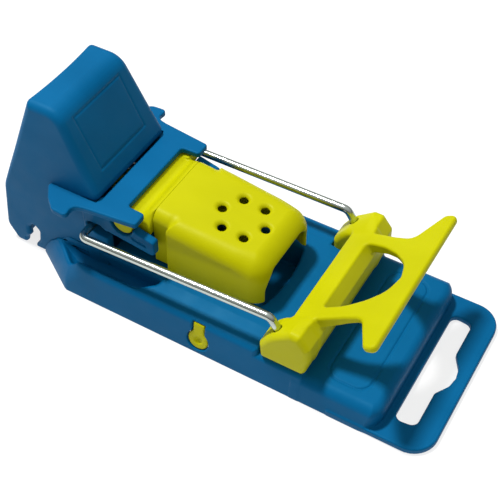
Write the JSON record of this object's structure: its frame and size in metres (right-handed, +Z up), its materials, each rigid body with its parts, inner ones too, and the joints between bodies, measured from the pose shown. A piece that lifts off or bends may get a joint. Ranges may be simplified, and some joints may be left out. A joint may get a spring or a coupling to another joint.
{
  "type": "snap mouse trap",
  "caption": "Snap mouse trap: moulded base with a spring tower, wire bail with a striker jaw and T handle, perforated trigger cover, bait cup and hang tab.",
  "frame": {"origin": "middle of the footprint, on the floor", "axes": "+X from the tower to the hang tab, +Y across the trap to its left, +Z up"},
  "size_m": [0.1208, 0.046, 0.0481],
  "materials": {
    "blue_plastic": "satin moulded plastic, mid blue",
    "yellow_plastic": "satin moulded plastic, lemon yellow",
    "steel_wire": "bright zinc plated wire",
    "spring_steel": "drawn spring wire, lightly oiled"
  },
  "bodies": {
    "housing": {"base_tray": "blue_plastic", "tower_housing": "blue_plastic", "latch_frame": "blue_plastic", "axle_cradle": "blue_plastic", "spring_anchor_pin": "steel_wire", "bait_cup": "yellow_plastic", "torsion_spring_left": "spring_steel", "torsion_spring_right": "spring_steel"},
    "striker": {"bail_wire": "steel_wire", "striker_jaw": "yellow_plastic", "catch_cam": "yellow_plastic"},
    "trigger": {"trigger_arm": "yellow_plastic", "bait_cover": "yellow_plastic"}
  },
  "joints": [
    {"name": "bail_hinge", "type": "hinge", "parent": "housing", "child": "striker", "pos_m": [-0.0318, 0, 0.0188], "axis": [0, -1, 0], "range_deg": [0, 98], "stiffness_Nm_per_rad": 0.16, "springref_deg": -60.16},
    {"name": "trigger_hinge", "type": "hinge", "parent": "housing", "child": "trigger", "pos_m": [-0.0231, 0, 0.023], "axis": [0, -1, 0], "range_deg": [0, 7]}
  ]
}
